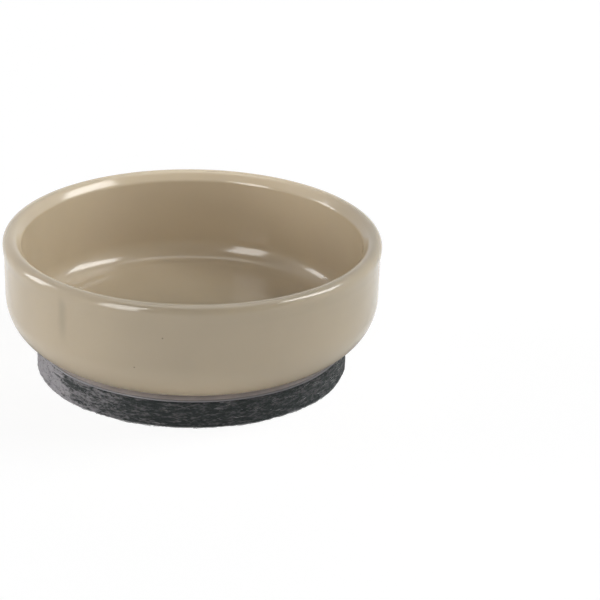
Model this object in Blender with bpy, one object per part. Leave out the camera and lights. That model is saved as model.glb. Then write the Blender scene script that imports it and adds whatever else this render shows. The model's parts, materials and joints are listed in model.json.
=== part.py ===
"""Castor cup: a moulded plastic cup bonded to a felt pad, which stands under a furniture leg or castor.

Metres, +Z up. The origin is on the cup's axis, in the plane that the felt stands on, and the cup
opens upwards. Every piece is a turned form: one outline of radius and height, spun about Z.
"""

from math import cos, pi, radians, sin, tan
from typing import NamedTuple

import bmesh
import bpy
from mathutils import Vector

# Cup: an injection moulding with a full-round rim and a wall of one thickness.
LIP_DIAMETER = 0.0600
CUP_HEIGHT = 0.0176
WALL_THICKNESS = 0.0028
WALL_DRAFT = radians(1.0)
SHOULDER_RADIUS = 0.0081
FLOOR_THICKNESS = 0.0024
INNER_CORNER_RADIUS = 0.0035

# Felt: a die-cut disc, wider than the flat base that it is bonded to.
FELT_THICKNESS = 0.0040
FELT_OVERHANG = 0.0032
FELT_WORN_EDGE = 0.0004
FELT_CUT_EDGE = 0.0002

# Film: the double-sided adhesive that was cut out together with the felt.
FILM_THICKNESS = 0.00035
FILM_INSET = 0.0001
BOND_GAP = 0.0003

# Fineness of the turned forms.
SEGMENTS = 96
SHOULDER_STEPS = 9
LIP_STEPS = 6
INNER_CORNER_STEPS = 7
FELT_EDGE_STEPS = 3
SAME_POINT = 1e-6
SHARP_EDGE = radians(30.0)

# Colours as a screen shows them, from 0 to 255.
BEIGE = (196, 184, 158)
FELT_GREY = (138, 137, 137)
FILM_GREY = (150, 148, 150)

# Heights of the stack of felt, film and cup.
FILM_BOTTOM = FELT_THICKNESS + BOND_GAP
CUP_BOTTOM = FILM_BOTTOM + FILM_THICKNESS + BOND_GAP
LIP_TOP = CUP_BOTTOM + CUP_HEIGHT
FLOOR_TOP = CUP_BOTTOM + FLOOR_THICKNESS


class Corner(NamedTuple):
    """A corner of a turned outline, and the arc that rounds it."""

    radius: float
    height: float
    rounding: float = 0.0
    steps: int = 0


def corner_arc(before, corner, after, rounding, steps):
    """Points of the arc that rounds a corner, tangent to the sides that come before and after it."""
    back = (before - corner).normalized()
    ahead = (after - corner).normalized()
    opening = back.angle(ahead)
    center = corner + (back + ahead).normalized() * rounding / sin(opening / 2)
    first = corner + back * rounding / tan(opening / 2) - center
    last = corner + ahead * rounding / tan(opening / 2) - center
    turn = pi - opening
    arc = []
    for step in range(steps + 1):
        done = turn * step / steps
        arc.append(center + (first * sin(turn - done) + last * sin(done)) / sin(turn))
    return arc


def rounded_outline(corners):
    """The points of an outline, from its first corner to its last, with each arc in its place."""
    places = [Vector((corner.radius, corner.height)) for corner in corners]
    outline = [places[0]]
    for number in range(1, len(corners) - 1):
        corner = corners[number]
        if corner.rounding:
            outline += corner_arc(*places[number - 1 : number + 2], corner.rounding, corner.steps)
        else:
            outline.append(places[number])
    outline.append(places[-1])
    return outline


def wall_radius(height, side):
    """Radius of the drafted wall's outer face (side 1) or inner face (side -1) at a height."""
    lip_rounding = WALL_THICKNESS / 2
    rise = height - (LIP_TOP - lip_rounding)
    lip_center = LIP_DIAMETER / 2 - lip_rounding
    return lip_center + (side * lip_rounding + rise * sin(WALL_DRAFT)) / cos(WALL_DRAFT)


def flat_base_radius():
    """Radius at which the shoulder runs out into the flat base."""
    return wall_radius(CUP_BOTTOM, 1) - SHOULDER_RADIUS * tan((pi / 2 - WALL_DRAFT) / 2)


def cup_outline():
    """Section of the moulding: base, shoulder, wall, full-round rim, wall, inner corner and floor."""
    lip_rounding = WALL_THICKNESS / 2
    return rounded_outline([
        Corner(0.0, CUP_BOTTOM),
        Corner(wall_radius(CUP_BOTTOM, 1), CUP_BOTTOM, SHOULDER_RADIUS, SHOULDER_STEPS),
        Corner(wall_radius(LIP_TOP, 1), LIP_TOP, lip_rounding, LIP_STEPS),
        Corner(wall_radius(LIP_TOP, -1), LIP_TOP, lip_rounding, LIP_STEPS),
        Corner(wall_radius(FLOOR_TOP, -1), FLOOR_TOP, INNER_CORNER_RADIUS, INNER_CORNER_STEPS),
        Corner(0.0, FLOOR_TOP),
    ])


def felt_outline():
    """Section of the felt, with a cut edge above and an edge worn soft where it slides."""
    radius = flat_base_radius() + FELT_OVERHANG
    return rounded_outline([
        Corner(0.0, 0.0),
        Corner(radius, 0.0, FELT_WORN_EDGE, FELT_EDGE_STEPS),
        Corner(radius, FELT_THICKNESS, FELT_CUT_EDGE, FELT_EDGE_STEPS),
        Corner(0.0, FELT_THICKNESS),
    ])


def film_outline():
    """Section of the adhesive film, which ends just inside the felt's cut edge."""
    radius = flat_base_radius() + FELT_OVERHANG - FELT_CUT_EDGE - FILM_INSET
    film_top = FILM_BOTTOM + FILM_THICKNESS
    return rounded_outline([
        Corner(0.0, FILM_BOTTOM),
        Corner(radius, FILM_BOTTOM),
        Corner(radius, film_top),
        Corner(0.0, film_top),
    ])


def turned(name, outline, material):
    """A solid of revolution about Z from an outline that starts and ends on the axis."""
    shape = bmesh.new()
    points = [shape.verts.new((point.x, 0.0, point.y)) for point in outline]
    edges = [shape.edges.new(pair) for pair in zip(points, points[1:])]
    bmesh.ops.spin(
        shape,
        geom=points + edges,
        cent=(0.0, 0.0, 0.0),
        axis=(0.0, 0.0, 1.0),
        angle=2 * pi,
        steps=SEGMENTS,
        use_merge=True,
    )
    bmesh.ops.remove_doubles(shape, verts=shape.verts[:], dist=SAME_POINT)
    bmesh.ops.recalc_face_normals(shape, faces=shape.faces[:])
    mesh = bpy.data.meshes.new(name)
    shape.to_mesh(mesh)
    shape.free()
    mesh.shade_smooth()
    mesh.set_sharp_from_angle(angle=SHARP_EDGE)
    mesh.materials.append(material)
    piece = bpy.data.objects.new(name, mesh)
    bpy.context.scene.collection.objects.link(piece)
    return piece


def linear(level):
    """A screen colour's level from 0 to 255 as the linear value that a shader takes."""
    share = level / 255
    return share / 12.92 if share <= 0.04045 else ((share + 0.055) / 1.055) ** 2.4


def finish(name, color, roughness):
    """A Principled material in the colour and gloss of one piece; none of them is metal."""
    material = bpy.data.materials.new(name)
    material.use_nodes = True
    shader = material.node_tree.nodes["Principled BSDF"]
    shader.inputs["Base Color"].default_value = (*map(linear, color), 1.0)
    shader.inputs["Roughness"].default_value = roughness
    shader.inputs["Metallic"].default_value = 0.0
    return material


def clear_scene():
    """Remove the objects that the scene starts with."""
    for old in list(bpy.data.objects):
        bpy.data.objects.remove(old, do_unlink=True)


def main():
    """Make the pieces from the ground up."""
    clear_scene()
    turned("felt_pad", felt_outline(), finish("needled_felt", FELT_GREY, 0.95))
    turned("adhesive_film", film_outline(), finish("adhesive_film", FILM_GREY, 0.45))
    turned("cup", cup_outline(), finish("beige_plastic", BEIGE, 0.2))


main()
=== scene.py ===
"""Looks of a castor cup: a glossy moulded cup bonded to a pad of needled felt.

Metres, +Z up. The cup's axis is Z, the felt stands on Z = 0, and the cup opens upwards.
"""

import json
import logging
import math
from dataclasses import dataclass, fields
from enum import Enum
from typing import Any, ClassVar, NamedTuple

import bpy
from bpy.types import Material, Mesh, Node, NodeSocket, NodeTree, Object
from mathutils import Matrix, Vector, noise

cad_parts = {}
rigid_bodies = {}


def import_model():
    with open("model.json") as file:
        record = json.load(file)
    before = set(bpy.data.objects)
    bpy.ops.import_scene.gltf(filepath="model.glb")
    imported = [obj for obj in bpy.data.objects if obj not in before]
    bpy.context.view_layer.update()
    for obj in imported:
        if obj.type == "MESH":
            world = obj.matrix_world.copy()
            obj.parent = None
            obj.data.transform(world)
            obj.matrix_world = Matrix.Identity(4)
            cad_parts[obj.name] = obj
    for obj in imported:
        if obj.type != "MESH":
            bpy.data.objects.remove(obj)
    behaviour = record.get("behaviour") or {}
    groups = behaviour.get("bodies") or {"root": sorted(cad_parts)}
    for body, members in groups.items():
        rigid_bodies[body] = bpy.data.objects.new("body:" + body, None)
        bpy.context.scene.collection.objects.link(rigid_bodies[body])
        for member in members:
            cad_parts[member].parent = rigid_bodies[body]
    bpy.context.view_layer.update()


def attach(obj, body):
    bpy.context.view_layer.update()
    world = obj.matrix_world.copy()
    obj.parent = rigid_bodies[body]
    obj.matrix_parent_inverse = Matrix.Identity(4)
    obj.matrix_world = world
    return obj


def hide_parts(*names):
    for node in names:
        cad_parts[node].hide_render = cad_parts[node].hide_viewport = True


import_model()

LOG = logging.getLogger("castor_cup")
QUARTER_TURN = math.pi / 2
WHITE = (1.0, 1.0, 1.0)
LEVEL = (1.0, 1.0, 0.0)
Color = tuple[float, float, float]


def direction(azimuth: float, elevation: float) -> Vector:
    """Unit vector out of the cup.

    Args:
        azimuth: Degrees from the front, -Y, towards +X.
        elevation: Degrees above the horizon.

    Returns:
        The direction in the frame's axes.
    """
    turn, rise = math.radians(azimuth), math.radians(elevation)
    level = math.cos(rise)
    return Vector((math.sin(turn) * level, -math.cos(turn) * level, math.sin(rise)))


def shade(color: Color, share: float) -> Color:
    """A colour made darker, or lighter up to white."""
    return tuple(min(channel * share, 1.0) for channel in color)


def add_object(name: str, data: Any) -> Object:
    """Add an object to the scene.

    Args:
        name: Its name.
        data: Its mesh, lamp or camera.

    Returns:
        The object.
    """
    made = bpy.data.objects.new(name, data)
    bpy.context.scene.collection.objects.link(made)
    return made


def add_piece(name: str, mesh: Mesh) -> Object:
    """Add a finished mesh to the scene, and report it."""
    LOG.info("%s: %d vertices, %d faces", name, len(mesh.vertices), len(mesh.polygons))
    return add_object(name, mesh)


@dataclass(frozen=True)
class Num:
    """A number inside a node tree, which arithmetic turns into Math nodes."""

    patch: "Patch"
    socket: NodeSocket

    def __add__(self, other: Any) -> "Num":
        """Sum."""
        return self.patch.math("ADD", self, other)

    def __sub__(self, other: Any) -> "Num":
        """Difference."""
        return self.patch.math("SUBTRACT", self, other)

    def __mul__(self, other: Any) -> "Num":
        """Product."""
        return self.patch.math("MULTIPLY", self, other)

    def __truediv__(self, other: Any) -> "Num":
        """Quotient."""
        return self.patch.math("DIVIDE", self, other)


class Patch:
    """A node tree that is being wired up."""

    def __init__(self, tree: NodeTree) -> None:
        """Take over an empty or half-wired tree.

        Args:
            tree: The tree of a material, world, group or modifier.
        """
        self.tree = tree
        self.ids: dict[str, str] = {}

    def add(self, kind: str, inputs: dict[Any, Any] | None = None, **options: Any) -> Node:
        """Add a node.

        Args:
            kind: The node's type.
            inputs: Values or sources for its inputs, by name, identifier or number.
            options: The node's own settings.

        Returns:
            The new node.
        """
        node = self.tree.nodes.new(kind)
        for option, value in options.items():
            setattr(node, option, value)
        for key, value in (inputs or {}).items():
            self.feed(node, key, value)
        return node

    def feed(self, node: Node, key: Any, value: Any) -> None:
        """Link a source to a node's input, or set its value.

        Args:
            node: The node that takes the value.
            key: The input's name, identifier or number.
            value: A node, a socket, a Num or a plain value.
        """
        if isinstance(key, int):
            target = node.inputs[key]
        else:
            by_id = [socket for socket in node.inputs if socket.identifier == key]
            target = by_id[0] if by_id else node.inputs[key]
        if isinstance(value, Node):
            value = value.outputs[0]
        if isinstance(value, Num):
            value = value.socket
        if isinstance(value, NodeSocket):
            self.tree.links.new(value, target)
        elif target.type == "RGBA" and len(value) == 3:
            target.default_value = (*value, 1.0)
        else:
            target.default_value = value

    def read(self, node: Node, output: int | str = 0) -> Num:
        """One of a node's outputs as a number."""
        return Num(self, node.outputs[output])

    def math(self, operation: str, *terms: Any) -> Num:
        """Add a Math node and read its result."""
        return self.read(self.add("ShaderNodeMath", dict(enumerate(terms)), operation=operation))

    def vector_math(self, operation: str, *terms: Any, **named: Any) -> Node:
        """Add a Vector Math node, with its vectors in order and its other inputs by name."""
        inputs = {**dict(enumerate(terms)), **named}
        return self.add("ShaderNodeVectorMath", inputs, operation=operation)

    def measure(self, operation: str, *terms: Any) -> Num:
        """Add a Vector Math node that puts out a number, and read it."""
        return self.read(self.vector_math(operation, *terms), "Value")

    def height(self, place: Any) -> Num:
        """How high a point is."""
        return self.read(self.add("ShaderNodeSeparateXYZ", {0: place}), "Z")

    def noise(self, place: Any, scale: Any, detail: Any, **options: Any) -> Node:
        """Add a noise texture that is read at a point."""
        inputs = {"Vector": place, "Scale": scale, "Detail": detail}
        return self.add("ShaderNodeTexNoise", inputs, **options)

    def drift(self, place: Any, scale: float, detail: float, reach: float) -> Num:
        """Noise as a number that wanders about zero, by half of its reach at most."""
        return (self.read(self.noise(place, scale, detail)) - 0.5) * reach

    def ramp(
        self, value: Any, low: Any, high: Any, to_low: float = 0.0, to_high: float = 1.0
    ) -> Num:
        """Map a value smoothly from one range to another.

        Args:
            value: The value that is mapped.
            low: Where the change starts.
            high: Where it ends.
            to_low: The result at the start.
            to_high: The result at the end.

        Returns:
            The mapped value.
        """
        limits = {"From Min": low, "From Max": high, "To Min": to_low, "To Max": to_high}
        inputs = {"Value": value, **limits}
        return self.read(self.add("ShaderNodeMapRange", inputs, interpolation_type="SMOOTHSTEP"))

    def blend(self, share: Any, first: Any, second: Any) -> NodeSocket:
        """Mix two colours, with a share of the second one."""
        inputs = {"Factor_Float": share, "A_Color": first, "B_Color": second}
        return self.add("ShaderNodeMix", inputs, data_type="RGBA").outputs[2]

    def socket(self, name: str, kind: str, way: str = "INPUT") -> None:
        """Give the tree an input or output.

        Args:
            name: The socket's name.
            kind: The socket's type, without its NodeSocket prefix.
            way: INPUT or OUTPUT.
        """
        kind = "NodeSocket" + kind
        made = self.tree.interface.new_socket(name=name, in_out=way, socket_type=kind)
        self.ids[name] = made.identifier


class Group(Patch):
    """A shader group that several finishes share: a point and numbers in, and numbers out."""

    def __init__(self, name: str, numbers: tuple[str, ...], outputs: tuple[str, ...]) -> None:
        """Start the group.

        Args:
            name: The effect's name.
            numbers: The numbers that it takes.
            outputs: The numbers that it puts out.
        """
        super().__init__(bpy.data.node_groups.new(name, "ShaderNodeTree"))
        self.socket("Vector", "Vector")
        for label in numbers:
            self.socket(label, "Float")
        for label in outputs:
            self.socket(label, "Float", "OUTPUT")
        self.given = self.add("NodeGroupInput").outputs
        self.out = self.add("NodeGroupOutput")


class Effects:
    """The shader groups."""

    LAYS = ((0.4, 0.0), (1.7, 3.1), (2.6, 7.7))
    HAIR_CURL = 0.0012
    DRAWN_OUT = (0.35, 1.0, 1.0)

    def __init__(self) -> None:
        """Build each group once."""
        self.mottle = self._mottle()
        self.hairs = self._hairs()

    @staticmethod
    def _mottle() -> NodeTree:
        """Soft patches of light and dark.

        Returns:
            The group, which puts out a mask from 0 to 1 and the height of its relief.
        """
        numbers = ("Scale", "Detail", "Low", "High")
        patch = Group("Soft mottling", numbers, ("Mask", "Height"))
        given = patch.given
        cloud = patch.noise(given["Vector"], given["Scale"], given["Detail"])
        patch.feed(patch.out, "Mask", patch.ramp(cloud, given["Low"], given["High"]))
        patch.feed(patch.out, "Height", cloud)
        return patch.tree

    @staticmethod
    def _hairs() -> NodeTree:
        """Fine fibres that cross and curl.

        Returns:
            The group, which puts out a mask of fibres from 0 to 1.
        """
        patch = Group("Crossing fibres", ("Scale", "Fineness"), ("Mask",))
        place, scale = patch.given["Vector"], patch.given["Scale"]
        bend = patch.noise(place, scale, 2.0).outputs["Color"]
        curl = patch.vector_math("SCALE", bend, Scale=Effects.HAIR_CURL)
        masks = []
        for turn, offset in Effects.LAYS:
            given = {"Vector": place, "Angle": turn}
            turned = patch.add("ShaderNodeVectorRotate", given, rotation_type="Z_AXIS")
            drawn = patch.vector_math("MULTIPLY", turned, Effects.DRAWN_OUT)
            curled = patch.vector_math("ADD", drawn, curl)
            moved = patch.vector_math("ADD", curled, (offset, offset, offset))
            away = patch.math("ABSOLUTE", patch.read(patch.noise(moved, scale, 1.0)) - 0.5)
            masks.append(patch.ramp(away, 0.0, patch.given["Fineness"], 1.0, 0.0))
        joined = patch.math("MAXIMUM", patch.math("MAXIMUM", masks[0], masks[1]), masks[2])
        patch.feed(patch.out, "Mask", joined)
        return patch.tree


class Mottling(NamedTuple):
    """What the mottling puts out."""

    mask: Num
    height: Num


class Look(Patch):
    """A material that is being wired up, with its Principled shader and the point on the piece."""

    def __init__(self, name: str, effects: Effects) -> None:
        """Start the material.

        Args:
            name: The finish's name.
            effects: The shared shader groups.
        """
        self.material = bpy.data.materials.new(name)
        self.material.use_nodes = True
        super().__init__(self.material.node_tree)
        self.effects = effects
        self.place = self.add("ShaderNodeTexCoord").outputs["Object"]

    def mottle(
        self, scale: float, low: float, high: float, detail: float = 3.0, at: Any = None
    ) -> Mottling:
        """Place the mottling.

        Args:
            scale: How fine it is.
            low: The noise that gives the darkest patches.
            high: The noise that gives the lightest patches.
            detail: How many finer layers lie on it.
            at: The point that it is read at, if not the point on the piece.

        Returns:
            Its mask and height.
        """
        inputs = {"Vector": at or self.place, "Scale": scale, "Detail": detail, "Low": low}
        group = self.effects.mottle
        node = self.add("ShaderNodeGroup", {**inputs, "High": high}, node_tree=group)
        return Mottling(self.read(node, "Mask"), self.read(node, "Height"))

    def hairs(self, scale: float, fineness: float) -> Num:
        """Place the crossing fibres and read their mask."""
        inputs = {"Vector": self.place, "Scale": scale, "Fineness": fineness}
        return self.read(self.add("ShaderNodeGroup", inputs, node_tree=self.effects.hairs))

    def bump(self, height: Num, strength: float = 1.0) -> Node:
        """A normal that follows a relief whose height is in metres."""
        return self.add("ShaderNodeBump", {"Height": height, "Strength": strength, "Distance": 1.0})

    def finish(self, values: dict[str, Any]) -> None:
        """Feed the Principled shader.

        Args:
            values: Sources or constants for its inputs, by name.
        """
        for name, value in values.items():
            self.feed(self.tree.nodes["Principled BSDF"], name, value)


@dataclass(frozen=True)
class Finish:
    """How one kind of surface looks."""

    name: str

    def material(self, effects: Effects) -> Material:
        """Make the material.

        Args:
            effects: The shared shader groups.

        Returns:
            The material.
        """
        look = Look(self.name, effects)
        self.dress(look)
        return look.material

    def dress(self, look: Look) -> None:
        """Wire up the material."""
        raise NotImplementedError


@dataclass(frozen=True)
class GlossyPlastic(Finish):
    """Beige moulding compound with a polished mould's gloss."""

    name: str = "Glossy beige plastic"
    color: Color = (0.578, 0.479, 0.342)
    roughness: float = 0.11
    ior: float = 1.49
    speck_color: Color = (0.16, 0.13, 0.10)
    specks: tuple[tuple[float, float, float], ...] = (
        (-0.00735, -0.02888, 0.01212),
        (-0.00306, -0.02978, 0.01742),
    )
    speck_edge: tuple[float, float] = (0.000072, 0.00018)
    dust_scale: float = 110.0
    dust_edge: tuple[float, float] = (0.006, 0.011)
    dust_rarity: float = 0.93
    dust_share: float = 0.6
    # Painted reflection: a thin dark line in the outer wall's colour, where a dark edge of the
    # surroundings would show in the gloss.
    knit_azimuth: float = -38.5
    knit_width: float = 0.0013
    knit_drift: float = 0.0012
    knit_heights: tuple[float, float] = (0.0122, 0.0218)
    knit_fades: tuple[float, float] = (0.005, 0.0025)
    knit_share: float = 0.38
    outer_wall: float = 0.0284

    def dress(self, look: Look) -> None:
        """Cloud the colour a little, mark it, and let the gloss waver.

        Args:
            look: The plastic's material.
        """
        clouds = look.mottle(55.0, 0.3, 0.7)
        grain = look.mottle(2200.0, 0.2, 0.8, detail=2.0)
        color = look.blend(clouds.mask, shade(self.color, 0.955), shade(self.color, 1.03))
        color = look.blend(self._dust(look), color, self.speck_color)
        # Painted reflection: a dark line mixed into the outer wall's colour.
        color = look.blend(self._knit_line(look), color, shade(self.color, 0.6))
        waves = look.read(look.noise(look.place, 90.0, 1.0))
        look.finish({
            "Base Color": color,
            "Roughness": clouds.mask * 0.05 + self.roughness,
            "Normal": look.bump(waves * 0.00006 + grain.height * 0.0000012),
            "IOR": self.ior,
            "Subsurface Weight": 0.12,
            "Subsurface Radius": (1.0, 0.8, 0.5),
            "Subsurface Scale": 0.0012,
        })

    def _knit_line(self, look: Look) -> Num:
        """A painted reflection: a faint darker line up the outer wall, standing in for the
        reflection of a thin dark edge in the surroundings.

        Args:
            look: The plastic's material.

        Returns:
            The line's mask.
        """
        out = direction(self.knit_azimuth, 0.0)
        across = look.measure("DOT_PRODUCT", look.place, (-out.y, out.x, 0.0))
        off = look.drift(look.place, 300.0, 1.0, self.knit_drift) + across
        line = look.ramp(look.math("ABSOLUTE", off), 0.0, self.knit_width, 1.0, 0.0)
        height = look.height(look.place)
        (low, high), (fade_in, fade_out) = self.knit_heights, self.knit_fades
        start = look.ramp(height, low, low + fade_in)
        end = look.ramp(height, high - fade_out, high, 1.0, 0.0)
        outward = look.measure("DOT_PRODUCT", look.place, out)
        outside = look.math("GREATER_THAN", outward, self.outer_wall)
        return line * start * end * outside * self.knit_share

    def _dust(self, look: Look) -> Num:
        """Tiny dark specks: a few where they are known, and a thin scatter elsewhere.

        Args:
            look: The plastic's material.

        Returns:
            The specks' mask.
        """
        where = {"Vector": look.place, "Scale": self.dust_scale}
        cells = look.add("ShaderNodeTexVoronoi", where)
        lot = look.add("ShaderNodeSeparateColor", {0: cells.outputs["Color"]})
        small = look.ramp(cells.outputs["Distance"], *self.dust_edge, 1.0, 0.0)
        mask = small * look.math("GREATER_THAN", lot, self.dust_rarity)
        for speck in self.specks:
            gap = look.measure("DISTANCE", look.place, speck)
            mask = look.math("MAXIMUM", mask, look.ramp(gap, *self.speck_edge, 1.0, 0.0))
        return mask * self.dust_share


@dataclass(frozen=True)
class AdhesiveFilm(Finish):
    """Smooth double-sided film, lilac-grey over the felt, with a darker cut edge."""

    name: str = "Adhesive film"
    color: Color = (0.72, 0.68, 0.71)
    edge_color: Color = (0.25, 0.245, 0.26)
    edge_radius: float = 0.0246
    edge_width: float = 0.0002
    roughness: float = 0.38

    def dress(self, look: Look) -> None:
        """Smear the colour, and darken it at the edge.

        Args:
            look: The film's material.
        """
        smears = look.mottle(260.0, 0.35, 0.7)
        out = look.measure("LENGTH", look.vector_math("MULTIPLY", look.place, LEVEL))
        edge = look.ramp(out, self.edge_radius - self.edge_width, self.edge_radius)
        color = look.blend(smears.mask, shade(self.color, 0.86), self.color)
        look.finish({
            "Base Color": look.blend(edge, color, self.edge_color),
            "Roughness": smears.mask * 0.12 + self.roughness,
            "Normal": look.bump(smears.height * 0.00012),
        })


@dataclass(frozen=True)
class NeedledFelt(Finish):
    """Mixed grey fibres: pale on the face, and dark with pale streaks on the cut side, made paler
    on one side with painted light.
    """

    name: str = "Needled felt"
    face_pale: Color = (0.60, 0.595, 0.605)
    face_dark: Color = (0.24, 0.245, 0.245)
    # Painted light: the colour of the flecks where the cut side is painted as lit.
    side_pale: Color = (0.37, 0.355, 0.375)
    side_fleck: Color = (0.152, 0.148, 0.153)
    side_dark: Color = (0.034, 0.041, 0.041)
    radius: float = 0.02495
    # Painted light: the stretch of the cut side that is painted paler, round this azimuth.
    pale_azimuth: float = -78.0
    pale_drift: float = 0.34
    pale_core: tuple[float, float, float, float] = (0.83, 0.93, 0.0, 0.35)
    pale_rim: tuple[float, float, float, float] = (0.2, 0.8, 0.0, 0.2)
    # Painted shade: a dark streak where a crease of the cut side lies in shade.
    streak_azimuth: float = -46.5
    streak_height: float = 0.0036
    streak_taper: float = 0.1
    streak_drift: float = 0.0012
    streak_edge: tuple[float, float] = (0.0003, 0.00055)
    streak_share: float = 0.9
    face_edge: tuple[float, float] = (0.00024, 0.0005)

    def dress(self, look: Look) -> None:
        """Colour the face and the side apart, over one fibrous relief.

        Args:
            look: The felt's material.
        """
        flecks = look.mottle(1500.0, 0.3, 0.66, detail=2.0)
        hairs = look.hairs(420.0, 0.03)
        face = look.mottle(330.0, 0.36, 0.62).mask * 0.35 + flecks.mask * 0.45 + hairs * 0.35
        face_color = look.blend(face, self.face_dark, self.face_pale)
        on_face = look.ramp(look.height(look.place), *self.face_edge, 1.0, 0.0)
        look.finish({
            "Base Color": look.blend(on_face, self._side_color(look), face_color),
            "Normal": look.bump(flecks.height * 0.00022 + hairs * 0.00008, 0.9),
            "Roughness": 0.95,
            "Specular IOR Level": 0.2,
            "Sheen Weight": 0.12,
            "Sheen Roughness": 0.5,
        })

    def _side_color(self, look: Look) -> NodeSocket:
        """The cut side: dark layers with flecks of pale fibre drawn along them, and painted light
        that makes the side towards the left lamps paler.

        Args:
            look: The felt's material.

        Returns:
            The colour.
        """
        flat = look.vector_math("MULTIPLY", look.place, (1.0, 1.0, 4.0))
        layers = look.mottle(520.0, 0.3, 0.7, at=flat)
        lint = look.mottle(1700.0, 0.25, 0.75, at=flat)
        drifts = look.mottle(75.0, 0.3, 0.7, detail=1.0)
        # Painted light: the cut side is made paler towards the left lamps.
        pale = self._pale_side(look, flat)
        side = layers.mask * 0.5 + lint.mask * 0.5 + drifts.mask * 0.08 + pale
        fleck = look.blend(look.ramp(pale, 0.0, 0.4), self.side_fleck, self.side_pale)
        color = look.blend(look.ramp(side, 0.42, 1.06), self.side_dark, fleck)
        # Painted shade: the crease's dark streak over the cut side.
        return look.blend(self._dark_streak(look), color, self.side_dark)

    def _pale_side(self, look: Look, flat: Any) -> Num:
        """Painted light: a stretch of the cut side made paler where the left lamps fall on it.

        Args:
            look: The felt's material.
            flat: The point on the piece, drawn out in height, which makes streaks.

        Returns:
            How much paler the side is there.
        """
        outward = look.vector_math("NORMALIZE", look.place)
        towards = look.measure("DOT_PRODUCT", outward, direction(self.pale_azimuth, 0.0))
        reach = look.drift(flat, 300.0, 3.0, self.pale_drift) + towards
        return look.ramp(reach, *self.pale_core) + look.ramp(reach, *self.pale_rim)

    def _dark_streak(self, look: Look) -> Num:
        """Painted shade: a ragged dark streak along one layer, the shade in a crease of the cut
        side.

        Args:
            look: The felt's material.

        Returns:
            The streak's mask.
        """
        middle = direction(self.streak_azimuth, 0.0) * self.radius
        from_middle = look.vector_math("SUBTRACT", look.place, middle)
        along = look.measure("LENGTH", look.vector_math("MULTIPLY", from_middle, LEVEL))
        off = look.math("ABSOLUTE", look.height(look.place) - self.streak_height)
        ragged = look.drift(look.place, 900.0, 2.0, self.streak_drift)
        reach = along * self.streak_taper + off + ragged
        return look.ramp(reach, *self.streak_edge, self.streak_share, 0.0)


@dataclass(frozen=True)
class FeltFibre(Finish):
    """One colour of fibre that lies loose on the felt."""

    color: Color
    spread: float = 0.25

    def dress(self, look: Look) -> None:
        """Vary the colour from fibre to fibre.

        Args:
            look: The fibres' material.
        """
        lots = look.mottle(900.0, 0.3, 0.7, detail=1.0)
        darker, lighter = shade(self.color, 1.0 - self.spread), shade(self.color, 1.0 + self.spread)
        color = look.blend(lots.mask, darker, lighter)
        look.finish({"Base Color": color, "Roughness": 0.8, "Specular IOR Level": 0.25})


def named_sizes(owner: Any, *left_out: str) -> dict[str, float | int]:
    """The sizes of a dataclass, by the names that its Geometry Nodes inputs have.

    Args:
        owner: The sub-assembly.
        left_out: Fields that its tree doesn't take.

    Returns:
        The value of each field that is a number, by its name in title case.
    """
    values = {field.name: getattr(owner, field.name) for field in fields(owner)}
    return {
        name.replace("_", " ").title(): value
        for name, value in values.items()
        if isinstance(value, (int, float)) and name not in left_out
    }


class Modelling(Patch):
    """A Geometry Nodes tree with named sizes, whose result becomes a plain mesh."""

    def __init__(self, name: str, sizes: dict[str, float | int]) -> None:
        """Start the tree.

        Args:
            name: What the tree makes.
            sizes: Its named inputs with their values.
        """
        super().__init__(bpy.data.node_groups.new(name, "GeometryNodeTree"))
        self.sizes = sizes
        self.socket("Geometry", "Geometry")
        for label, value in sizes.items():
            self.socket(label, "Int" if isinstance(value, int) else "Float")
        self.socket("Material", "Material")
        self.socket("Geometry", "Geometry", "OUTPUT")
        self.given = self.add("NodeGroupInput")
        self.out = self.add("NodeGroupOutput")

    def size(self, label: str) -> Num:
        """A named size, for arithmetic."""
        return self.read(self.given, label)

    def close(self, shape: Any) -> None:
        """End the tree in Realize Instances and Set Material.

        Args:
            shape: The last node of the shape.
        """
        real = self.add("GeometryNodeRealizeInstances", {"Geometry": shape})
        material = self.given.outputs["Material"]
        dressed = self.add("GeometryNodeSetMaterial", {"Geometry": real, "Material": material})
        self.tree.links.new(dressed.outputs[0], self.out.inputs[0])

    def cast(self, name: str, material: Material, start: Mesh | None = None) -> Object:
        """Run the tree and keep its result as a plain mesh.

        Args:
            name: The piece's name.
            material: The piece's material.
            start: The mesh that the tree starts from, if any.

        Returns:
            The finished piece.
        """
        rough = add_object(name + "_tree", start or bpy.data.meshes.new(name + "_start"))
        modifier = rough.modifiers.new("Shape", "NODES")
        modifier.node_group = self.tree
        for label, value in self.sizes.items():
            modifier[self.ids[label]] = value
        modifier[self.ids["Material"]] = material
        graph = bpy.context.evaluated_depsgraph_get()
        mesh = bpy.data.meshes.new_from_object(rough.evaluated_get(graph), depsgraph=graph)
        mesh.name = name
        rough.modifiers.remove(modifier)
        bpy.data.objects.remove(rough)
        return add_piece(name, mesh)


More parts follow.
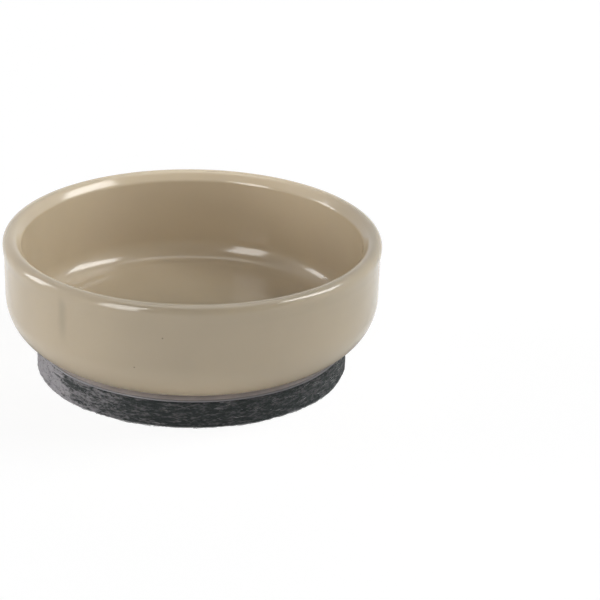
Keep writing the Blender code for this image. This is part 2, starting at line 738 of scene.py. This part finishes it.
class Turning(Modelling):
    """A turned form: corners of a section, rounded where they have a radius, and spun about Z."""

    CLEARANCE = 0.0005
    SAME_POINT = 1e-6
    ARC_POINTS = 24

    def section(self, corners: list[tuple[Any, Any, Any]]) -> Node:
        """The section as a curve of evenly spaced points.

        Args:
            corners: Distance from the axis, height and rounding radius of each corner.

        Returns:
            The node that puts out the curve.
        """
        index = self.add("GeometryNodeInputIndex")
        places = self.add("GeometryNodeIndexSwitch", {"Index": index}, data_type="VECTOR")
        radii = self.add("GeometryNodeIndexSwitch", {"Index": index}, data_type="FLOAT")
        for number, (out, up, rounding) in enumerate(corners):
            if number > 1:
                places.index_switch_items.new()
                radii.index_switch_items.new()
            from_ring = self.math("SUBTRACT", out, self.CLEARANCE)
            down = self.math("MULTIPLY", up, -1.0)
            corner = self.add("ShaderNodeCombineXYZ", {"X": from_ring, "Y": down})
            self.feed(places, number + 1, corner)
            self.feed(radii, number + 1, rounding)
        points = self.add("GeometryNodeMeshLine", {"Count": len(corners)})
        moved = self.add("GeometryNodeSetPosition", {"Geometry": points, "Position": places})
        line = self.add("GeometryNodeMeshToCurve", {"Mesh": moved})
        arcs = {"Curve": line, "Count": self.ARC_POINTS, "Radius": radii}
        rounded = self.add("GeometryNodeFilletCurve", arcs, mode="POLY")
        spacing = {"Curve": rounded, "Length": self.size("Ring Spacing")}
        return self.add("GeometryNodeResampleCurve", spacing, mode="LENGTH")

    def spin(self, section: Any) -> None:
        """Sweep the section round the axis, and close its seam and poles.

        Args:
            section: The section's curve.
        """
        circle = {"Resolution": self.size("Segments"), "Radius": self.CLEARANCE}
        ring = self.add("GeometryNodeCurvePrimitiveCircle", circle)
        upright = self.add("GeometryNodeSetCurveNormal", {"Curve": ring}, mode="Z_UP")
        sweep = {"Curve": upright, "Profile Curve": section}
        swept = self.add("GeometryNodeCurveToMesh", sweep)
        outside = self.add("GeometryNodeFlipFaces", {"Mesh": swept})
        seam = {"Geometry": outside, "Distance": self.SAME_POINT}
        joined = self.add("GeometryNodeMergeByDistance", seam)
        self.close(self.add("GeometryNodeSetShadeSmooth", {"Geometry": joined}))


class Strewing(Modelling):
    """Fibres that lie strewn over a mesh, each a thin tapered tube."""

    LENGTHS = (0.5, 1.3)
    LENGTH_SEED = 11
    SIDES = 3
    CURL_STEP = 7.31
    CURL_SCALE = 620.0
    PRESSED_FLAT = 0.85
    TAPER_FROM = 0.3
    TIP = 0.35

    def strew(self) -> None:
        """Lay a strand at each point, bend it and give it its thickness."""
        half = self.size("Length") / 2.0
        ends = {
            "Start": self.add("ShaderNodeCombineXYZ", {"X": half * -1.0}),
            "End": self.add("ShaderNodeCombineXYZ", {"X": half}),
        }
        line = self.add("GeometryNodeCurvePrimitiveLine", ends)
        divided = {"Curve": line, "Count": self.size("Points")}
        strand = self.add("GeometryNodeResampleCurve", divided, mode="COUNT")
        strewn = self.add(
            "GeometryNodeInstanceOnPoints",
            {
                "Points": self._spots(),
                "Instance": strand,
                "Rotation": self._turns(),
                "Scale": self._chance(*self.LENGTHS, self.LENGTH_SEED),
            },
        )
        loose = self.add("GeometryNodeRealizeInstances", {"Geometry": strewn})
        section = {"Resolution": self.SIDES, "Radius": self.size("Thickness") / 2.0}
        tube = self.add("GeometryNodeCurvePrimitiveCircle", section)
        along = self.read(self.add("GeometryNodeSplineParameter"), "Factor")
        from_middle = self.math("ABSOLUTE", along - 0.5)
        taper = self.ramp(from_middle, self.TAPER_FROM, 0.5, 1.0, self.TIP)
        sweep = {"Curve": self._curled(loose), "Profile Curve": tube, "Scale": taper}
        solid = self.add("GeometryNodeCurveToMesh", {**sweep, "Fill Caps": True})
        self.close(self.add("GeometryNodeSetShadeSmooth", {"Geometry": solid}))

    def _spots(self) -> Node:
        """Scatter points over the region, and note which way the felt faces there.

        Returns:
            The node that puts out the points.
        """
        tilt = self.height(self.add("GeometryNodeInputNormal"))
        above = self.math("GREATER_THAN", tilt, self.size("Lowest Tilt"))
        below = self.math("LESS_THAN", tilt, self.size("Highest Tilt"))
        spots = self.add(
            "GeometryNodeDistributePointsOnFaces",
            {
                "Mesh": self.given.outputs["Geometry"],
                "Selection": above * below,
                "Density": self.size("Density"),
                "Seed": self.size("Seed"),
            },
        )
        sideways = self.math("GREATER_THAN", self.size("Lowest Tilt"), -1.0)
        radial = self.vector_math("MULTIPLY", self.add("GeometryNodeInputPosition"), LEVEL)
        ways = {"Switch": sideways, "False": (0.0, 0.0, -1.0), "True": radial}
        outward = self.add("GeometryNodeSwitch", ways, input_type="VECTOR")
        facing = self.vector_math("NORMALIZE", outward)
        return self.add(
            "GeometryNodeStoreNamedAttribute",
            {"Geometry": spots, "Name": "facing", "Value": facing},
            data_type="FLOAT_VECTOR",
            domain="POINT",
        )

    def _facing(self) -> Node:
        """Which way the felt faces under each fibre."""
        inputs = {"Name": "facing"}
        return self.add("GeometryNodeInputNamedAttribute", inputs, data_type="FLOAT_VECTOR")

    def _turns(self) -> Node:
        """Lay each fibre flat, turned from the felt's outline by no more than the spread.

        Returns:
            The node that puts out the rotations.
        """
        align = "FunctionNodeAlignRotationToVector"
        up = (0.0, 0.0, 1.0)
        along = self.vector_math("CROSS_PRODUCT", up, self.add("GeometryNodeInputPosition"))
        standing = self.add(align, {"Vector": self._facing()}, axis="Z")
        outline = {"Rotation": standing, "Vector": along}
        lined_up = self.add(align, outline, axis="X", pivot_axis="Z")
        spread = self.size("Spread")
        angle = {"Axis": up, "Angle": self._chance(spread * -1.0, spread, 0)}
        twist = self.add("FunctionNodeAxisAngleToRotation", angle)
        turns = {"Rotation": lined_up, "Rotate By": twist}
        return self.add("FunctionNodeRotateRotation", turns, rotation_space="LOCAL")

    def _chance(self, low: Any, high: Any, offset: int) -> NodeSocket:
        """A random number for each fibre, from a seed of its own."""
        limits = {"Min_001": low, "Max_001": high, "Seed": self.size("Seed") + offset}
        return self.add("FunctionNodeRandomValue", limits, data_type="FLOAT").outputs[1]

    def _curled(self, strands: Any) -> Node:
        """Bend each fibre its own way, above the floor and inside the felt's outline.

        Args:
            strands: The straight fibres.

        Returns:
            The node that puts out the bent fibres.
        """
        normal, now = self._facing(), self.add("GeometryNodeInputPosition")
        number = self.add("GeometryNodeCurveOfPoint").outputs["Curve Index"]
        swirl = self.noise(now, self.CURL_SCALE, 1.0, noise_dimensions="4D")
        self.feed(swirl, "W", self.math("MULTIPLY", number, self.CURL_STEP))
        push = self.vector_math("SUBTRACT", swirl.outputs["Color"], (0.5, 0.5, 0.5))
        push = self.vector_math("SCALE", push, Scale=self.size("Curl") * 2.0)
        lift = self.measure("DOT_PRODUCT", push, normal) * -self.PRESSED_FLAT + self.size("Lift")
        offset = self.vector_math("ADD", push, self.vector_math("SCALE", normal, Scale=lift))
        moved = self.add("GeometryNodeSetPosition", {"Geometry": strands, "Offset": offset})
        level = self.vector_math("MULTIPLY", now, LEVEL)
        inward = self.math("MINIMUM", self.size("Reach") / self.measure("LENGTH", level), 1.0)
        height = self.math("MAXIMUM", self.height(now), self.size("Thickness") / 2.0)
        upright = self.add("ShaderNodeCombineXYZ", {"Z": height})
        held = self.vector_math("ADD", self.vector_math("SCALE", level, Scale=inward), upright)
        return self.add("GeometryNodeSetPosition", {"Geometry": moved, "Position": held})


@dataclass(frozen=True)
class Cup:
    """The moulding: beaded rim with a bevel inside, drafted wall, rounded shoulder, flat base."""

    lip_diameter: float = 0.0600
    height: float = 0.01747
    wall: float = 0.0028
    draft: float = math.radians(1.0)
    lip_rounding: float = 0.00125
    bead: float = 0.00014
    bead_height: float = 0.0031
    bevel: float = math.radians(50.0)
    bevel_edge: float = 0.00016
    shoulder_radius: float = 0.0081
    floor: float = 0.0024
    corner_radius: float = 0.0035
    base_height: float = 0.00508
    ring_spacing: float = 0.00026
    segments: int = 256

    SOFT_BEND: ClassVar[float] = 0.005
    CREST_DEPTH: ClassVar[float] = 1.25
    JUST_UNDER: ClassVar[float] = 0.9995

    def build(self, material: Material) -> Object:
        """Turn the cup from its section.

        Args:
            material: The cup's plastic.

        Returns:
            The cup as a plain mesh.
        """
        tree = Turning("Moulded cup", named_sizes(self))
        size = tree.size
        base = size("Base Height")
        top = base + size("Height")
        inside = base + size("Floor")
        half = size("Wall") / 2.0
        middle = size("Lip Diameter") / 2.0 - half
        slope = tree.math("TANGENT", size("Draft"))
        half_wall = half / tree.math("COSINE", size("Draft"))

        def radius(height: Num, side: float) -> Num:
            """Distance from the axis to the wall's outer face (side 1) or inner face (side -1)."""
            return middle + half_wall * side + (height - (top - half)) * slope

        rounding = size("Lip Rounding") * self.JUST_UNDER
        rim = radius(top, 1.0) + size("Bead")
        under_bead = top - size("Bead Height")
        on_bead = top - size("Lip Rounding") * self.CREST_DEPTH
        across = tree.math("TANGENT", size("Bevel") / 2.0) + 1.0
        crest = rim - size("Lip Rounding") * across
        edge = top - (crest - radius(top, -1.0)) * tree.math("TANGENT", size("Bevel"))
        tree.spin(tree.section([
            (0.0, base, 0.0),
            (radius(base, 1.0), base, size("Shoulder Radius")),
            (radius(under_bead, 1.0), under_bead, self.SOFT_BEND),
            (rim, on_bead, self.SOFT_BEND),
            (rim, top, rounding),
            (crest, top, rounding),
            (radius(edge, -1.0), edge, size("Bevel Edge")),
            (radius(inside, -1.0), inside, size("Corner Radius")),
            (0.0, inside, 0.0),
        ]))
        return tree.cast("moulded_cup", material)


@dataclass(frozen=True)
class Film:
    """The adhesive film: flat under the base, and drooping a little over the felt outside it."""

    base_radius: float = 0.0219
    radius: float = 0.02480
    top: float = 0.00507
    edge_top: float = 0.00476
    edge_bottom: float = 0.00448
    edge_rounding: float = 0.00011
    ring_spacing: float = 0.00022
    segments: int = 256

    def build(self, material: Material) -> Object:
        """Turn the film from its section.

        Args:
            material: The film's finish.

        Returns:
            The film as a plain mesh.
        """
        tree = Turning("Adhesive film", named_sizes(self))
        size = tree.size
        under = size("Top") - (size("Edge Top") - size("Edge Bottom"))
        tree.spin(tree.section([
            (0.0, under, 0.0),
            (size("Base Radius"), under, 0.0),
            (size("Radius"), size("Edge Bottom"), size("Edge Rounding")),
            (size("Radius"), size("Edge Top"), size("Edge Rounding")),
            (size("Base Radius"), size("Top"), 0.0),
            (0.0, size("Top"), 0.0),
        ]))
        return tree.cast("adhesive_ring", material)


class Row(NamedTuple):
    """A ring of points on the plain disc, and how far out and down its surface faces there."""

    radius: float
    height: float
    out: float
    down: float


class Lumps(NamedTuple):
    """One layer of the noise that roughs up the felt."""

    share: float
    scale: float
    stretch: float = 0.0
    shift: tuple[float, float, float] = (0.0, 0.0, 0.0)

    def at(self, x: float, y: float, z: float) -> float:
        """How high the layer stands at a point."""
        place = Vector((x, y, z * self.stretch)) * self.scale
        return noise.noise(place + Vector(self.shift)) * self.share


@dataclass(frozen=True)
class Felt:
    """The felt disc: a needled face, a face edge worn soft, and a cut side creased in layers."""

    radius: float = 0.02495
    thickness: float = 0.00444
    worn_edge: float = 0.00045
    cut_edge: float = 0.00020
    top_band: float = 0.0012
    cell: float = 0.0002
    side_rows: int = 24
    worn_rows: int = 3
    cut_rows: int = 2
    face_depth: float = 0.00020
    side_depth: float = 0.00024
    outline_wander: float = 0.00010
    wander: Lumps = Lumps(1.0, 130.0, shift=(5.0, 1.0, 9.0))
    face_mean: float = 0.55
    dents: Lumps = Lumps(0.45, 260.0, shift=(3.0, 7.0, 2.0))
    tufts: Lumps = Lumps(0.5, 1100.0, shift=(1.0, 4.0, 6.0))
    side_mean: float = 0.30
    coarse: Lumps = Lumps(0.40, 420.0, 5.0)
    fine: Lumps = Lumps(0.25, 1500.0, 2.5)
    layers: Lumps = Lumps(5.0, 90.0, 10.0)
    crease_share: float = 0.55

    def _rows(self) -> list[Row]:
        """Rows outside the flat face, from the face to the top.

        Returns:
            The rows.
        """
        rows = []
        for step in range(1, self.worn_rows + 1):
            turn = step / self.worn_rows * QUARTER_TURN
            out, down = math.sin(turn), math.cos(turn)
            inside, above = self.worn_edge * (1.0 - out), self.worn_edge * (1.0 - down)
            rows.append(Row(self.radius - inside, above, out, down))
        low, high = self.worn_edge, self.thickness - self.cut_edge
        for step in range(1, self.side_rows):
            rows.append(Row(self.radius, low + (high - low) * step / self.side_rows, 1.0, 0.0))
        for step in range(self.cut_rows + 1):
            turn = step / self.cut_rows * QUARTER_TURN
            inside = self.cut_edge * (1.0 - math.cos(turn))
            above = high + self.cut_edge * math.sin(turn)
            rows.append(Row(self.radius - inside, above, math.cos(turn), 0.0))
        rows.append(Row(self.radius - self.top_band, self.thickness, 0.0, 0.0))
        return rows

    def _point(self, row: Row, share: float = 0.0) -> tuple[float, float, float]:
        """A point of the lumpy surface: the plain disc's, moved inwards and upwards.

        Args:
            row: The row that it is on.
            share: How far round it is, as a share of a full turn.

        Returns:
            Its place.
        """
        radius, z, out, down = row
        turn = 2 * math.pi * share
        x, y = radius * math.cos(turn), radius * math.sin(turn)
        crease = (1.0 - min(abs(self.layers.at(x, y, z)), 1.0)) * self.crease_share
        rough = self.side_mean + self.coarse.at(x, y, z) + self.fine.at(x, y, z) + crease
        face = self.face_mean + self.dents.at(x, y, z) + self.tufts.at(x, y, z)
        wander = self.outline_wander * self.wander.at(x, y, z)
        inward = (self.side_depth * max(rough, 0.0) - wander) * out
        upward = self.face_depth * max(face, 0.0) * max(down, 0.0)
        shrink = 1.0 - inward / (math.hypot(x, y) or 1.0)
        return x * shrink, y * shrink, z + upward

    def build(self, material: Material) -> Object:
        """Build the disc as rings of points, and rough up its surface.

        Args:
            material: The felt's finish.

        Returns:
            The felt as a plain mesh.
        """
        flat = self.radius - self.worn_edge
        rings = round(flat / self.cell)
        around = 6 * rings
        points = [self._point(Row(0.0, 0.0, 0.0, 1.0))]
        for ring in range(1, rings + 1):
            row = Row(flat * ring / rings, 0.0, 0.0, 1.0)
            points += [self._point(row, step / (6 * ring)) for step in range(6 * ring)]
        rows = self._rows()
        for row in rows:
            points += [self._point(row, step / around) for step in range(around)]
        points.append(self._point(Row(0.0, self.thickness, 0.0, 0.0)))
        mesh = bpy.data.meshes.new("felt_disc")
        mesh.from_pydata(points, [], self._faces(rings, around, len(rows), len(points)))
        mesh.update()
        mesh.shade_smooth()
        mesh.materials.append(material)
        return add_piece("felt_disc", mesh)

    @staticmethod
    def _faces(rings: int, around: int, rows: int, count: int) -> list[tuple[int, ...]]:
        """Faces of the disc, all facing out.

        Args:
            rings: Rings of the flat face.
            around: Points on its last ring.
            rows: Rows outside the flat face.
            count: All points, the last of them the top's centre.

        Returns:
            The faces' corners.
        """
        faces: list[tuple[int, ...]] = []
        start = [0] + [1 + 3 * ring * (ring - 1) for ring in range(1, rings + 1)]
        for ring in range(1, rings + 1):
            outer, inner = start[ring], start[ring - 1]
            inner_count = max(6 * (ring - 1), 1)
            for sector in range(6):
                for step in range(ring):
                    place, behind = sector * ring + step, sector * (ring - 1) + step
                    beyond = outer + (place + 1) % (6 * ring)
                    back = inner + behind % inner_count
                    faces.append((outer + place, back, beyond))
                    if step < ring - 1:
                        faces.append((back, inner + (behind + 1) % inner_count, beyond))
        for row in range(rows):
            low = start[rings] + row * around
            for step in range(around):
                ahead = (step + 1) % around
                faces.append((low + step, low + ahead, low + around + ahead, low + around + step))
        last = start[rings] + rows * around
        faces += [(last + step, last + (step + 1) % around, count - 1) for step in range(around)]
        return faces


class Region(Enum):
    """Where on the felt the loose fibres lie: the range of the surface's upward tilt."""

    FACE = (-1.1, -0.6)
    SIDE = (-0.6, 0.6)


@dataclass(frozen=True)
class FibreCoat:
    """Loose fibres that lie on part of the felt, each with its own curl."""

    name: str
    region: Region
    count: int
    seed: int
    length: float = 0.0026
    thickness: float = 0.00007
    curl: float = 0.0011
    spread: float = math.pi
    lift: float = 0.00003
    reach: float = 0.02462
    points: int = 8

    def build(self, felt: Object, material: Material) -> Object:
        """Scatter the fibres over the felt.

        Args:
            felt: The finished felt disc.
            material: The fibres' colour.

        Returns:
            The fibres as one plain mesh.
        """
        low, high = self.region.value
        area = sum(face.area for face in felt.data.polygons if low < face.normal.z <= high)
        where = {"Density": self.count / area, "Lowest Tilt": low, "Highest Tilt": high}
        tree = Strewing("Loose fibres", {**named_sizes(self, "count"), **where})
        tree.strew()
        return tree.cast(self.name, material, felt.data.copy())


class Shine(Enum):
    """Which part of a surface a lamp acts on."""

    MATT = "matt"
    GLOSS = "gloss"


@dataclass(frozen=True)
class Softbox:
    """A rectangular lamp that looks at the cup."""

    name: str
    azimuth: float
    elevation: float
    power: float
    width: float = 0.5
    height: float = 0.5
    shine: Shine = Shine.MATT
    distance: float = 0.9
    roll: float = 0.0
    tint: Color = WHITE

    def hang(self, aim: Vector) -> None:
        """Hang the lamp.

        Args:
            aim: The point that the lamp looks at.
        """
        lamp = bpy.data.lights.new(self.name, "AREA")
        lamp.shape = "RECTANGLE"
        lamp.size, lamp.size_y = self.width, self.height
        lamp.energy = self.power
        lamp.color = self.tint
        holder = add_object(self.name, lamp)
        away = direction(self.azimuth, self.elevation)
        facing = away.to_track_quat("Z", "Y").to_matrix().to_4x4()
        roll = Matrix.Rotation(math.radians(self.roll), 4, "Z")
        holder.matrix_world = Matrix.Translation(aim + away * self.distance) @ facing @ roll
        holder.visible_camera = False
        holder.visible_diffuse = self.shine is Shine.MATT
        holder.visible_glossy = self.shine is Shine.GLOSS


@dataclass(frozen=True)
class Spotlight:
    """A lamp under the table that lights the felt's face and nothing else."""

    name: str
    depth: float
    reach: float
    power: float

    def hang(self) -> None:
        """Hang the lamp on the cup's axis, facing up."""
        lamp = bpy.data.lights.new(self.name, "SPOT")
        lamp.spot_size = 2.0 * math.atan(self.reach / self.depth)
        lamp.spot_blend = 0.05
        lamp.shadow_soft_size = 0.01
        lamp.energy = self.power
        holder = add_object(self.name, lamp)
        facing_up = Matrix.Rotation(math.pi, 4, "X")
        holder.matrix_world = Matrix.Translation((0.0, 0.0, -self.depth)) @ facing_up
        holder.visible_camera = holder.visible_glossy = False


@dataclass(frozen=True)
class Studio:
    """Camera, lamps, white table and surroundings."""

    lens: float = 156.0
    camera_elevation: float = 0.40587763938
    camera_roll: float = 0.0272794754
    aim: tuple[float, float, float] = (0.0173172, 0.0, 0.0114862)
    camera_distance: float = 0.4180705
    table_radius: float = 1.6
    table_albedo: float = 0.65
    table_glow: float = 0.91
    shadow_depth: float = 0.16
    dark_room: float = 0.12
    dark_elevation: float = 35.0
    dark_edge: tuple[float, float] = (0.45, 0.7)
    # Painted shadow: the ring round the cup where the table's glow is dimmed in reflections.
    dim_ring: tuple[float, float] = (0.025, 0.037)
    dim_share: float = 0.15
    lamp_aim: tuple[float, float, float] = (0.0, 0.0, 0.012)
    lamps: tuple[Softbox, ...] = (
        Softbox("left_softbox", -95.0, 12.0, 4.3),
        Softbox("right_fill", 104.0, 20.0, 2.8, tint=(0.97, 0.99, 1.0)),
        Softbox("front_fill", 0.0, 18.0, 2.15),
        Softbox("low_left_fill", -44.0, -6.0, 1.6),
        Softbox("high_right_fill", 99.3, 42.0, 2.8, 0.48, 0.3, tint=(0.96, 0.99, 1.0)),
        Softbox("back_fill", 180.0, 18.0, 1.6),
        Softbox("high_right_strip", 94.0, 42.5, 4.4, 0.50, 0.30, Shine.GLOSS, roll=118.0),
        Softbox("left_glint", -101.0, 14.0, 3.7, 0.27, 0.65, Shine.GLOSS),
        Softbox("front_left_glint", -40.0, 20.0, 8.0, 0.35, 1.0, Shine.GLOSS),
        Softbox("overhead_glint", 180.0, 77.0, 1.4, 0.6, 0.5, Shine.GLOSS),
        Softbox("from_below", 0.0, -90.0, 0.7, 1.2, 1.2, distance=0.6),
    )
    rim_lights: tuple[tuple[float, float], ...] = (
        (-110.0, 0.00022),
        (-85.0, 0.00022),
        (-60.0, 0.00022),
        (-35.0, 0.00018),
        (135.0, 0.00035),
        (160.0, 0.00042),
        (185.0, 0.00042),
        (210.0, 0.00038),
        (235.0, 0.00027),
    )
    rim_light_width: float = 0.01
    rim_light_gap: float = 0.0105
    rim_radius: float = 0.0264
    rim_height: float = 0.0225
    felt_light: Spotlight = Spotlight("felt_light", 0.3, 0.0245, 2.7)

    def camera(self) -> None:
        """Set up the camera."""
        data = bpy.data.cameras.new("camera")
        data.lens, data.sensor_width = self.lens, 36.0
        data.clip_start, data.clip_end = 0.01, 20.0
        camera = add_object("camera", data)
        pitch = Matrix.Rotation(QUARTER_TURN - self.camera_elevation, 4, "X")
        turn = pitch @ Matrix.Rotation(self.camera_roll, 4, "Z")
        away = turn.col[2].to_3d()
        eye = Vector(self.aim) + away * self.camera_distance
        camera.matrix_world = Matrix.Translation(eye) @ turn
        bpy.context.scene.camera = camera

    def table(self) -> None:
        """Lay the white table that the cup stands on."""
        mesh = bpy.data.meshes.new("table")
        corners = [direction(angle, 0.0) * self.table_radius for angle in range(0, 360, 5)]
        mesh.from_pydata([tuple(corner) for corner in corners], [], [tuple(range(len(corners)))])
        mesh.update()
        mesh.materials.append(self._table_finish())
        table = add_object("table", mesh)

    def _table_finish(self) -> Material:
        """White to the camera with a faint shadow, matt white to the cup, glowing white in
        reflections with a painted shadow round the cup, and clear from below.

        Returns:
            The table's material.
        """
        material = bpy.data.materials.new("White table")
        material.use_nodes = True
        patch = Patch(material.node_tree)
        patch.tree.nodes.remove(patch.tree.nodes["Principled BSDF"])
        rays = patch.add("ShaderNodeLightPath")
        matt = patch.add("ShaderNodeBsdfDiffuse", {"Color": (self.table_albedo,) * 3})
        faint = patch.add("ShaderNodeBsdfDiffuse", {"Color": (self.shadow_depth,) * 3})
        away = patch.measure("LENGTH", patch.add("ShaderNodeTexCoord").outputs["Object"])
        # Painted shadow: in reflections the table's glow is dimmed in a ring round the cup.
        painted_shadow = patch.ramp(away, *self.dim_ring, self.dim_share, 1.0)
        lit = patch.math("MAXIMUM", rays.outputs["Is Camera Ray"], painted_shadow)
        glow = {"Color": WHITE, "Strength": lit * self.table_glow}
        white = patch.add("ShaderNodeEmission", glow)
        seen = patch.add("ShaderNodeAddShader", {0: faint, 1: white})
        shown = self._background_rays(patch, rays.outputs)
        upper = patch.add("ShaderNodeMixShader", {0: shown, 1: matt, 2: seen})
        below = patch.add("ShaderNodeNewGeometry").outputs["Backfacing"]
        passes = patch.math("MAXIMUM", below, rays.outputs["Is Shadow Ray"])
        clear = patch.add("ShaderNodeBsdfTransparent")
        both = patch.add("ShaderNodeMixShader", {0: passes, 1: upper, 2: clear})
        patch.feed(patch.tree.nodes["Material Output"], "Surface", both)
        return material

    @staticmethod
    def _background_rays(patch: Patch, is_a: Any) -> Num:
        """The rays that see the white background, straight or in the part."""
        in_part = patch.math("MAXIMUM", is_a["Is Glossy Ray"], is_a["Is Transmission Ray"])
        return patch.math("MAXIMUM", is_a["Is Camera Ray"], in_part)

    def world(self) -> None:
        """White surroundings, with the dark of the room behind the camera in reflections."""
        world = bpy.data.worlds.new("Studio")
        world.use_nodes = True
        bpy.context.scene.world = world
        patch = Patch(world.node_tree)
        rays = patch.add("ShaderNodeLightPath")
        way = patch.add("ShaderNodeTexCoord").outputs["Generated"]
        front = patch.measure("DOT_PRODUCT", way, direction(0.0, self.dark_elevation))
        mirrored = patch.ramp(front, *self.dark_edge, 1.0, self.dark_room)
        reflected = self._background_rays(patch, rays.outputs) * mirrored
        back = world.node_tree.nodes["Background"]
        patch.feed(back, "Color", WHITE)
        seen = patch.math("MAXIMUM", rays.outputs["Is Camera Ray"], reflected)
        patch.feed(back, "Strength", seen)

    def hang_lamps(self) -> None:
        """Hang the lamps round the cup, close above its rim, and under its felt."""
        for lamp in self.lamps:
            lamp.hang(Vector(self.lamp_aim))
        width, height = self.rim_light_width, Vector((0.0, 0.0, self.rim_height))
        for azimuth, power in self.rim_lights:
            name = f"rim_light_{azimuth:.0f}"
            lamp = Softbox(name, 0.0, 90.0, power, width, width, distance=self.rim_light_gap)
            lamp.hang(direction(azimuth, 0.0) * self.rim_radius + height)
        self.felt_light.hang()

    def build(self) -> None:
        """Set up the whole studio."""
        self.camera()
        self.table()
        self.world()
        self.hang_lamps()
        bpy.context.scene.view_settings.view_transform = "Standard"


def fit_out(piece: Object, slot: str, *nodes: str) -> None:
    """Make a piece ride on the part, and hide the frame's nodes that it replaces.

    Args:
        piece: The finished piece.
        slot: Not used.
        nodes: The frame's nodes that it replaces.
    """
    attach(piece, "root")
    if nodes:
        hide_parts(*nodes)


def main() -> None:
    """Build the pieces from the ground up, then the studio round them."""
    effects = Effects()
    felt = Felt().build(NeedledFelt().material(effects))
    pale = FeltFibre("Pale felt fibre", (0.42, 0.415, 0.425)).material(effects)
    dark = FeltFibre("Dark felt fibre", (0.05, 0.06, 0.058)).material(effects)
    short = {"length": 0.0012, "thickness": 0.00005, "curl": 0.00035, "lift": 0.0, "reach": 0.0249}
    coats = (
        (FibreCoat("face_fibres_pale", Region.FACE, 3400, 21), pale),
        (FibreCoat("face_fibres_dark", Region.FACE, 1500, 22, length=0.0018), dark),
        (FibreCoat("side_fibres_pale", Region.SIDE, 300, 23, spread=0.3, **short), pale),
        (FibreCoat("side_fibres_dark", Region.SIDE, 520, 24, spread=0.4, **short), dark),
    )
    fibres = [coat.build(felt, material) for coat, material in coats]
    fit_out(felt, "needled_felt", "felt_pad")
    for fibre in fibres:
        fit_out(fibre, "needled_felt")
    film = Film().build(AdhesiveFilm().material(effects))
    fit_out(film, "adhesive_film", "adhesive_film")
    cup = Cup().build(GlossyPlastic().material(effects))
    fit_out(cup, "beige_plastic", "cup")
    Studio().build()


if __name__ == "__main__":
    logging.basicConfig(level=logging.INFO, format="%(name)s: %(message)s")
    main()
